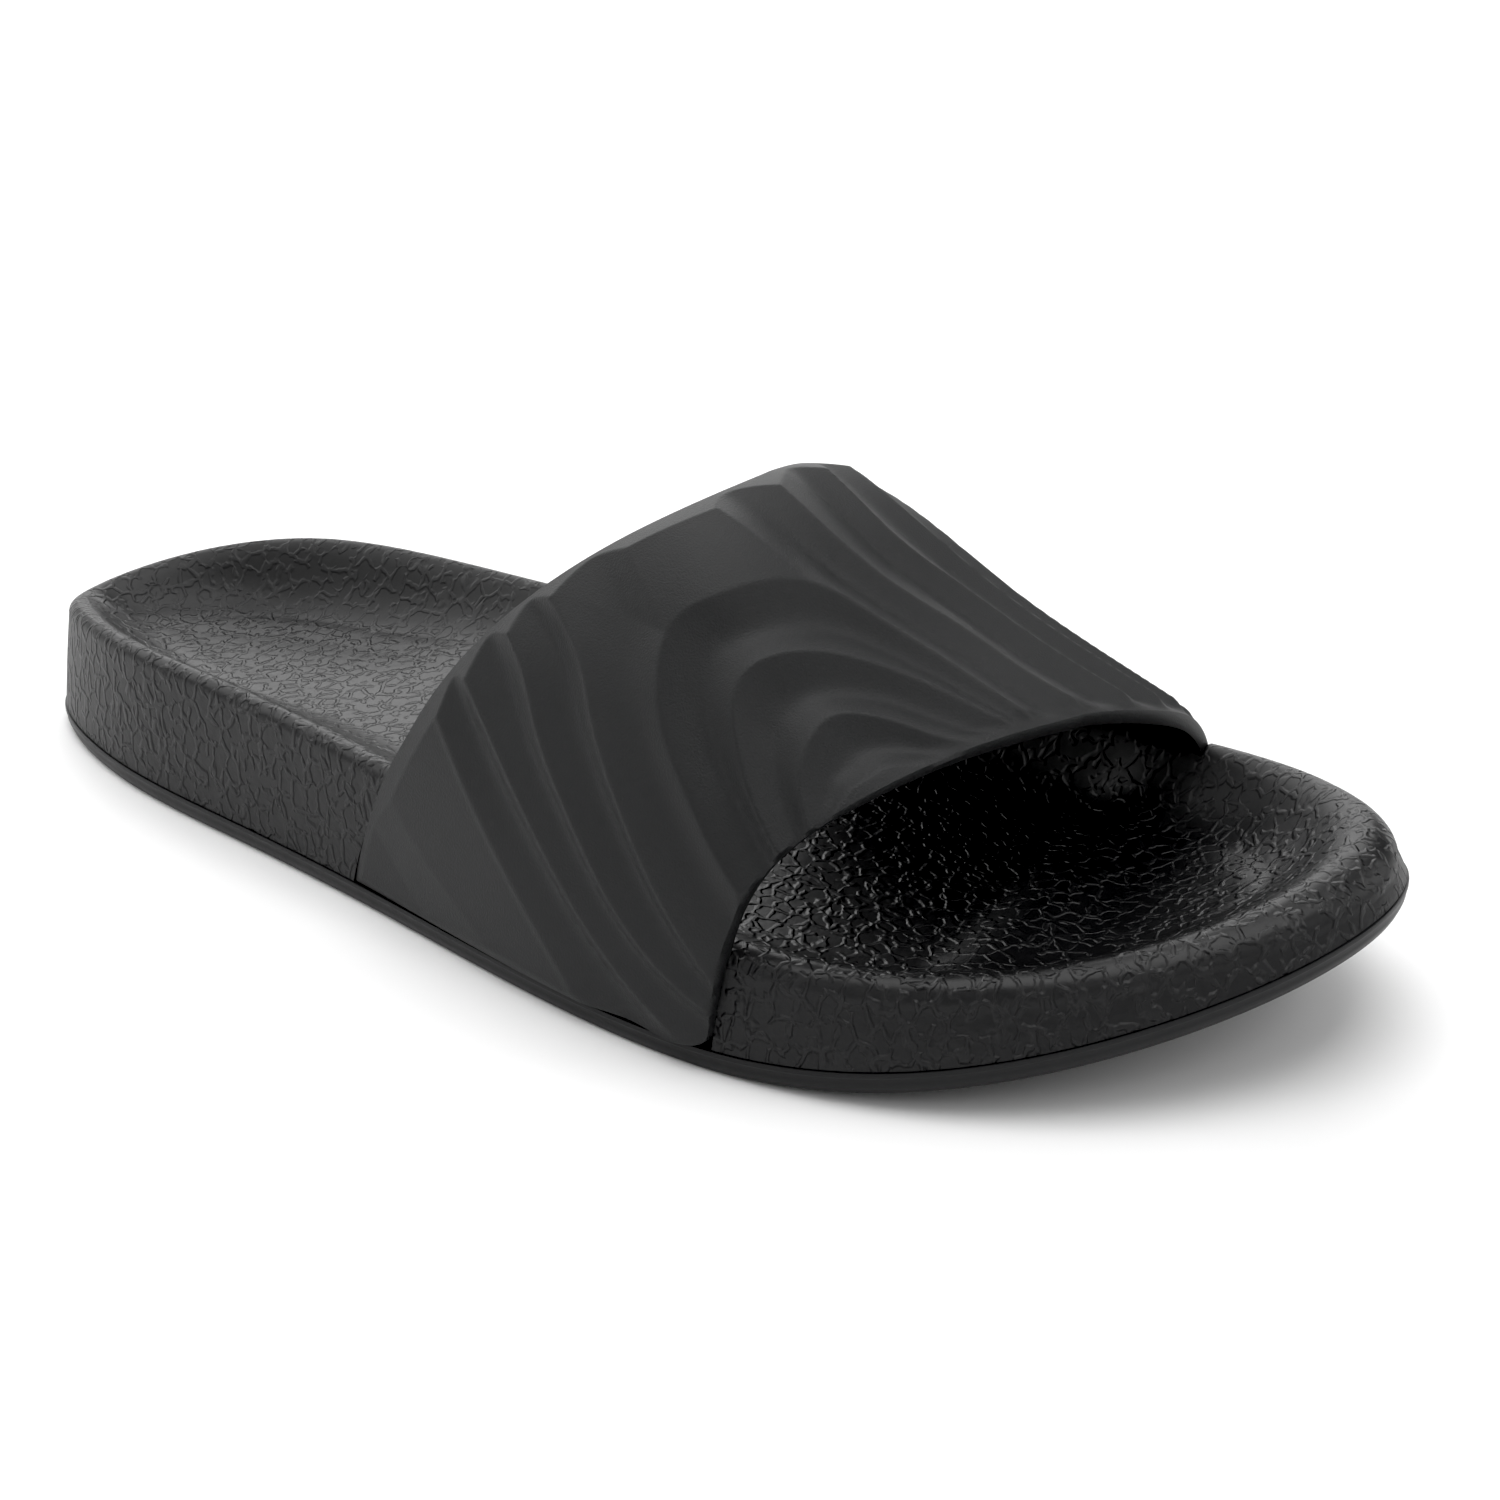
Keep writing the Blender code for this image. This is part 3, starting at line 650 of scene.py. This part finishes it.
def cut_mesh(mesh, cutters):
    """The mesh with the cutters' volumes taken out of it."""
    item = add_object("uncut", mesh)
    tools = []
    for cutter in cutters:
        tool = add_object("cutter", cutter)
        tools.append(tool)
        cut = item.modifiers.new("cut", "BOOLEAN")
        cut.operation = "DIFFERENCE"
        cut.solver = "MANIFOLD"
        cut.object = tool
    bpy.context.view_layer.update()
    evaluated = item.evaluated_get(bpy.context.evaluated_depsgraph_get())
    result = bpy.data.meshes.new_from_object(evaluated)
    result.name = mesh.name
    for tool in tools + [item]:
        bpy.data.objects.remove(tool, do_unlink=True)
    return result


def strap_mesh():
    """The strap: for each column round the arch, a closed section of its outer and inner faces."""
    across = even_across(STRAP_COLUMNS)
    rear, front = edge_stations(across)
    bend = (EDGE_ROUND / LENGTH / (front - rear))[:, None]
    middle = np.linspace(0, 1, STRAP_ROWS)
    round_rows = 1 - np.sin(np.linspace(np.pi / 2, 0, EDGE_ROWS))
    outer = np.concatenate([middle * (1 - bend), 1 - bend * (1 - round_rows[1:])], 1)
    rise = np.broadcast_to(foot_rise(across)[:, None], outer.shape)
    depth = outer_depth(np.broadcast_to(across[:, None], outer.shape), outer, rise)
    flat = np.linspace(1, 0, INNER_ROWS)[1:-1] + 0 * bend
    inner = np.concatenate([1 + 0 * bend, 1 - 0.5 * bend, flat, 0.5 * bend, 0 * bend], 1)
    inner_depth = np.full(inner.shape, STRAP_WALL)
    inner_depth[:, [0, -1]] -= INNER_LIP * EDGE_ROUND
    along = np.concatenate([outer, inner], 1)
    depth = np.concatenate([depth, inner_depth], 1)
    columns = np.broadcast_to(across[:, None], along.shape)
    return grid_mesh("strap", strap_point(columns, along, depth), True)


def recess_cutter(start, end):
    """Block over the strap's end, grown by the recess's gap, that cuts the footbed's side."""
    across = np.linspace(start, end, RECESS_COLUMNS)
    rear, front = (edge[:, None] for edge in edge_stations(across))
    side = RECESS_GAP / LENGTH / (front - rear)
    outward = -side + (1 + 2 * side) * np.linspace(0, 1, RECESS_ROWS)
    along = np.concatenate([outward, outward[:, ::-1]], 1)
    depth = np.repeat([-RECESS_REACH, STRAP_WALL + RECESS_GAP], RECESS_ROWS)
    columns = np.broadcast_to(across[:, None], along.shape)
    points = below_arch(columns, rear + (front - rear) * along, depth)
    below = points[:1] - np.array([0, 0, RECESS_DROP])
    return grid_mesh("recess", np.concatenate([below, points]), True)


def bed_height(turn, flat, share):
    """Height inside the rim: share 0 on the rim's crest, 1 on the floor, with arch and toe ridge."""
    station = station_at(flat[..., 1])
    crest = underside(station_of(turn)) + rim_height(turn)
    floor = underside(station) + BED_HEIGHT * table_curve(station, BED, "floor")
    side = blend(*ARCH_ACROSS, flat[..., 0] / BALL_WIDTH)
    arch = ARCH_RAISE * side * blend(*ARCH_RISE, station) * (1 - blend(*ARCH_END, station))
    ridge = TOE_RIDGE * blend(*RIDGE_RISE, station) * (1 - blend(*RIDGE_END, station))
    return crest + (floor + arch + ridge - crest) * share


def ring(flat, height):
    """Points of a flat line at a height, which may vary along it."""
    return np.concatenate([flat, np.broadcast_to(height, flat.shape[:-1])[..., None]], -1)


def footbed_mesh():
    """The footbed: rings from the underside's middle up its wall, over the rim and down to the bed."""
    turn = np.linspace(0, 2 * np.pi, BED_TURNS, endpoint=False)
    station = station_of(turn)
    low = underside(station) + OUTSOLE_THICKNESS + CLEARANCE
    crest = underside(station) + rim_height(turn)
    middle = middle_point(turn)
    middle_low = underside(station_at(middle[:, 1])) + OUTSOLE_THICKNESS + CLEARANCE
    lean = widening(WALL_DRAFT, station) + HEEL_LEAN * (1 - blend(*HEEL_END, station))
    lean = lean + TOE_LEAN * blend(*TOE_END, station)
    size = widening(RIM_ROUND, station)
    shoulder = crest - size
    foot_top = low + FOOT_CORNER
    wall_lean = lean * np.clip((shoulder - foot_top) / LEAN_HEIGHT, 0, 1)
    round_width = size + lean - wall_lean
    profile = [(FOOTBED_LEDGE + SEAT_CORNER, low)]
    for share in np.linspace(0, 1, WALL_RINGS):
        lean_share = (1 - WALL_BOW) * share + WALL_BOW * share * share
        profile.append((FOOTBED_LEDGE + lean_share * wall_lean,
                        foot_top + share * (shoulder - foot_top)))
    for bend in np.linspace(0, np.pi / 2, RIM_RINGS)[1:]:
        profile.append((FOOTBED_LEDGE + wall_lean + round_width * (1 - np.cos(bend)),
                        shoulder + size * np.sin(bend)))
    rings = [ring(middle, middle_low)]
    rings += [ring(outline(turn, inset), height) for inset, height in profile]
    crest_inset = FOOTBED_LEDGE + lean + size
    for inward in np.linspace(0, 1, FALL_RINGS)[1:]:
        flat = outline(turn, crest_inset + inward * RIM_FALL)
        rings.append(ring(flat, bed_height(turn, flat, table_curve(inward, FALL, "drop"))))
    edge = outline(turn, crest_inset + RIM_FALL)
    last = FALL[-1].drop
    for toward in np.linspace(0, 1, BED_RINGS)[1:]:
        flat = edge + (middle - edge) * toward
        share = last + (1 - last) * blend(0, FLOOR_REACHED, toward)
        rings.append(ring(flat, bed_height(turn, flat, share)))
    cutters = [recess_cutter(0, RECESS_SHARE), recess_cutter(1, 1 - RECESS_SHARE)]
    return cut_mesh(grid_mesh("footbed", np.stack(rings), False), cutters)


def groove_block(station):
    """One tread groove: a bar across the sole, swept back toward both edges in a shallow V."""
    angle = turn_of(station)
    other = 2 * np.pi - angle
    x = np.array([outline(angle, 0)[0] + TREAD_MARGIN,
                  (reach(angle) + reach(other)) / 2 + GROOVE_APEX,
                  outline(other, 0)[0] - TREAD_MARGIN])
    y = place_of(station) + GROOVE_SWEEP * np.array([1, 0, 1])
    half = GROOVE_WIDTH / 2
    sections = []
    for shift, side in ((-half, -1), (half, -1), (half, 1), (-half, 1)):
        low = underside(station_at(y + shift))
        sections.append(np.stack([x, y + shift, low + side * TREAD_DEPTH], -1))
    return grid_mesh("groove", np.stack(sections, 1), True)


def outsole_mesh():
    """The outsole: underside, side with its belly and lip, and top face, cut by the tread's grooves."""
    turn = np.linspace(0, 2 * np.pi, SOLE_TURNS, endpoint=False)
    low = underside(station_of(turn))
    top = low + OUTSOLE_THICKNESS
    middle = middle_point(turn)
    middle_low = underside(station_at(middle[:, 1]))
    profile = [(UNDERSIDE_RING, low)]
    for bend in np.linspace(0, np.pi / 2, CORNER_RINGS):
        profile.append((LIP_DEPTH + OUTSOLE_BELLY + CORNER_WIDTH * (1 - np.sin(bend)),
                        low + CORNER_HEIGHT * (1 - np.cos(bend))))
    belly_top = BELLY_LEVEL * OUTSOLE_THICKNESS
    for share in np.linspace(0, 1, BELLY_RINGS)[1:]:
        profile.append((LIP_DEPTH + OUTSOLE_BELLY * (1 - np.sin(share * np.pi / 2)),
                        low + CORNER_HEIGHT + share * (belly_top - CORNER_HEIGHT)))
    profile.append((LIP_DEPTH, top - LIP_HEIGHT - LIP_FILLET))
    profile += [(row.inward * LIP_DEPTH, top - row.down * LIP_HEIGHT) for row in LIP]
    profile.append((FOOTBED_LEDGE + SEAT_CORNER, top))
    rings = [ring(middle, middle_low)]
    rings += [ring(outline(turn, inset), height) for inset, height in profile]
    rings.append(ring(middle, middle_low + OUTSOLE_THICKNESS))
    pitch = (LUG_LENGTH + GROOVE_WIDTH) / LENGTH
    places = np.concatenate([np.arange(*HEEL_TREAD, pitch), np.arange(*FRONT_TREAD, pitch)])
    return cut_mesh(grid_mesh("outsole", np.stack(rings), False),
                    [groove_block(place) for place in places])


class Signal:
    """One shader value: arithmetic on it adds Math nodes."""

    def __init__(self, finish, socket):
        self.finish = finish
        self.socket = socket

    def math(self, operation, first, second):
        """A Math node on two values."""
        return self.finish.node("Math", {"operation": operation}, {0: first, 1: second})

    def __add__(self, other):
        return self.math("ADD", self, other)

    def __sub__(self, other):
        return self.math("SUBTRACT", self, other)

    def __rsub__(self, other):
        return self.math("SUBTRACT", other, self)

    def __mul__(self, other):
        return self.math("MULTIPLY", self, other)

    __radd__ = __add__

    def step(self, low, high):
        """0 below low, 1 above high, smooth between; reversed where low is above high."""
        if low > high:
            return 1 - self.step(high, low)
        return self.finish.node("MapRange", {"interpolation_type": "SMOOTHSTEP"},
                                {0: self, 1: low, 2: high, 3: 0.0, 4: 1.0})


class Finish:
    """A material: constants go straight on the surface shader, nodes are added by type."""

    def __init__(self, name, **constants):
        """Its place is the object's own coordinates in millimetres."""
        self.material = bpy.data.materials.new(name)
        self.material.use_nodes = True
        self.tree = self.material.node_tree
        self.surface = self.tree.nodes["Principled BSDF"]
        for socket, value in constants.items():
            self.surface.inputs[socket.replace("_", " ")].default_value = value
        metres = self.node("TexCoord", {}, {}, "Object")
        self.place = self.vector_math("SCALE", {0: metres, 3: 1 / MM})

    def node(self, kind, settings, values, output=0):
        """Adds one node with its settings, and links or sets its sockets."""
        item = self.tree.nodes.new("ShaderNode" + kind)
        for key, value in settings.items():
            setattr(item, key, value)
        for key, value in values.items():
            self.feed(item.inputs[key], value)
        return Signal(self, item.outputs[output])

    def vector_math(self, operation, values, output=0):
        """Adds one Vector Math node."""
        return self.node("VectorMath", {"operation": operation}, values, output)

    def feed(self, socket, value):
        """Links a signal to a socket, or sets the socket to a plain value."""
        if isinstance(value, Signal):
            self.tree.links.new(value.socket, socket)
        else:
            socket.default_value = value

    def noise(self, size, detail):
        """Soft noise whose blotches are about size millimetres across."""
        return self.node("TexNoise", {}, {"Vector": self.place, "Scale": 1 / size, "Detail": detail})

    def shifted(self, place, size, amount):
        """The place moved about by noise, so that straight edges bend."""
        drift = self.node("TexNoise", {}, {"Vector": place, "Scale": 1 / size, "Detail": 1.0}, "Color")
        drift = self.vector_math("SUBTRACT", {0: drift, 1: (0.5, 0.5, 0.5)})
        drift = self.vector_math("SCALE", {0: drift, 3: amount})
        return self.vector_math("ADD", {0: place, 1: drift})

    def net(self, place, size):
        """Distance in millimetres from the nearest edge of a net of cells."""
        edge = self.node("TexVoronoi", {"feature": "DISTANCE_TO_EDGE"},
                         {"Vector": place, "Scale": 1 / size})
        return edge * size

    def mix(self, share, first, second):
        """A colour between two, as red, green and blue."""
        return self.node("Mix", {"data_type": "RGBA"},
                         {0: share, 6: (*first, 1), 7: (*second, 1)}, 2)

    def colours(self, share, first, second):
        """Surface's base colour, mixed from two."""
        self.feed(self.surface.inputs["Base Color"], self.mix(share, first, second))

    def bump(self, height):
        """Height in millimetres as the surface's bump."""
        normal = self.node("Bump", {}, {"Height": height, "Distance": MM, "Strength": 1.0})
        self.feed(self.surface.inputs["Normal"], normal)

    def roughness(self, value):
        """Surface's roughness."""
        self.feed(self.surface.inputs["Roughness"], value)


def foam_finish():
    """Black foam skin: a broken net of raised veins, lower and glossier on the bed, whose base colour
    is darker there as painted shade.

    Masks: flat_bed where the skin faces up, cup_wall where the inner side's wall faces the outer
    side, and bed on both. The cells are taller than wide, by the share that upright takes off.
    """
    foam = Finish("footbed_foam", Metallic=0.0, Specular_IOR_Level=0.30)
    normal = foam.node("NewGeometry", {}, {}, "Normal")
    upward = foam.node("SeparateXYZ", {}, {0: normal}, 2)
    facing = foam.node("SeparateXYZ", {}, {0: normal}, 0)
    sideways = foam.node("SeparateXYZ", {}, {0: foam.place}, 0)
    cup_wall = facing.step(-0.1, -0.5) * sideways.step(0.0, 15.0)
    flat_bed = upward.step(0.45, 0.8)
    bed = flat_bed + cup_wall * (1 - flat_bed)
    upright = foam.vector_math("MULTIPLY", {0: foam.place, 1: (1, 1, 0.66)})
    cells = foam.net(foam.shifted(upright, size=2.6, amount=1.8), size=3.2)
    vein = cells.step(0.55, 0.12) * foam.noise(size=3.0, detail=1.0).step(0.38, 0.48)
    fine = foam.noise(size=0.5, detail=2.0)
    swell = foam.noise(size=2.4, detail=1.0)
    height = vein * 0.36 + fine * 0.04 + swell * 0.14
    foam.bump(height * (1 - bed * 0.45 - cup_wall * 0.20))
    # Base colour: the veins a little lighter, and the bed (upward skin and the cup's wall) painted
    # darker than the outer wall as painted shade
    foam.colours(vein * 0.4 + (1 - bed) * 0.6, *FOAM_COLOURS)
    foam.roughness(0.42 + fine * 0.08 - bed * 0.10 + cup_wall * 0.10)
    return foam.material


def strap_finish():
    """Matte charcoal moulding: very fine sandy skin, faint cloudy patches and a few pale specks."""
    skin = Finish("strap_moulding", Metallic=0.0, Specular_IOR_Level=0.36)
    sand = skin.noise(size=0.35, detail=3.0)
    cloud = skin.noise(size=14.0, detail=3.0)
    speck = skin.noise(size=1.3, detail=0.0).step(0.80, 0.84)
    skin.bump(sand * 0.09)
    skin.colours(cloud * 0.35 + sand * 0.55 + speck * 0.5, *STRAP_COLOURS)
    skin.roughness(0.48 + sand * 0.10)
    return skin.material


def rubber_finish():
    """Smooth satin rubber with a faint haze and shallow moulding ripples."""
    rubber = Finish("outsole_rubber", Metallic=0.0, Specular_IOR_Level=0.26)
    haze = rubber.noise(size=9.0, detail=3.0)
    fine = rubber.noise(size=0.4, detail=2.0)
    rubber.bump(haze * 0.05 + fine * 0.012)
    rubber.colours(haze, *RUBBER_COLOURS)
    rubber.roughness(0.36 + haze * 0.14)
    return rubber.material


def add_camera():
    """Camera at the photograph's place, from its azimuth, elevation, roll and distance."""
    azimuth, elevation, roll = np.radians(CAMERA_ANGLES)
    back = Vector((np.sin(azimuth) * np.cos(elevation), -np.cos(azimuth) * np.cos(elevation),
                   np.sin(elevation)))
    right = Vector((0, 0, 1)).cross(back).normalized()
    up = back.cross(right)
    turned_right = right * np.cos(roll) + up * np.sin(roll)
    turned_up = up * np.cos(roll) - right * np.sin(roll)
    data = bpy.data.cameras.new("camera")
    data.sensor_width = CAMERA_SENSOR
    data.lens = CAMERA_LENS
    data.clip_start, data.clip_end = CAMERA_CLIP
    camera = add_object("camera", data)
    turn = Matrix((turned_right, turned_up, back)).transposed().to_4x4()
    place = Vector(CAMERA_TARGET) + back * CAMERA_DISTANCE * MM
    camera.matrix_world = Matrix.Translation(place) @ turn
    bpy.context.scene.camera = camera


def add_panel_light(row):
    """A soft rectangular light that looks from its place to the middle of the sandal."""
    data = bpy.data.lights.new(row.name, "AREA")
    data.shape = "RECTANGLE"
    data.size = row.width
    data.size_y = row.height
    data.energy = row.watts
    light = add_object(row.name, data)
    place = Vector((row.x, row.y, row.z))
    away = (place - Vector(LIGHT_AIM)).normalized()
    light.matrix_world = Matrix.Translation(place) @ away.to_track_quat("Z", "Y").to_matrix().to_4x4()


def floor_mesh():
    """A large flat disc with a ring round it that rises outward."""
    angles = np.linspace(0, 2 * np.pi, FLOOR_SIDES, endpoint=False)
    circle = np.stack([np.cos(angles), np.sin(angles), 0 * angles], -1)
    points = np.concatenate([circle * FLOOR_REACH, circle * SWEEP_REACH + (0, 0, SWEEP_RISE)])
    first = np.arange(FLOOR_SIDES)
    after = np.roll(first, -1)
    sweep = np.stack([first, after, FLOOR_SIDES + after, FLOOR_SIDES + first], -1)
    mesh = bpy.data.meshes.new("floor")
    mesh.from_pydata(points.tolist(), [], [first.tolist()] + sweep.tolist())
    return mesh


def floor_finish():
    """White paint that glows more and more away from the sandal."""
    paint = Finish("floor_paint", Base_Color=FLOOR_COLOUR, Roughness=0.9, Specular_IOR_Level=0.1,
                   Emission_Strength=1.0)
    away = paint.vector_math("LENGTH", {0: paint.place}, 1)
    glow = away.step(*[distance / MM for distance in SWEEP_GLOW])
    paint.feed(paint.surface.inputs["Emission Color"], paint.mix(glow, (0, 0, 0), (1, 1, 1)))
    return paint.material


def add_stage():
    """White floor whose far edge rises all round, dim surroundings, softboxes and the black level."""
    floor = add_object("floor", floor_mesh())
    floor.data.materials.append(floor_finish())
    world = bpy.data.worlds.new("surroundings")
    world.use_nodes = True
    world.node_tree.nodes["Background"].inputs["Color"].default_value = (1, 1, 1, 1)
    world.node_tree.nodes["Background"].inputs["Strength"].default_value = SURROUNDINGS
    bpy.context.scene.world = world
    for light in LIGHTS:
        add_panel_light(light)
    view = bpy.context.scene.view_settings
    view.view_transform = "Standard"
    view.use_curve_mapping = True
    view.curve_mapping.black_level = [BLACK_LEVEL] * 3
    view.curve_mapping.update()


add_camera()
add_piece("strap_moulding", strap_mesh(), "strap", strap_finish())
skin = add_piece("footbed_skin", footbed_mesh(), "footbed", foam_finish())
add_piece("outsole_rubber", outsole_mesh(), "outsole", rubber_finish())
add_stage()
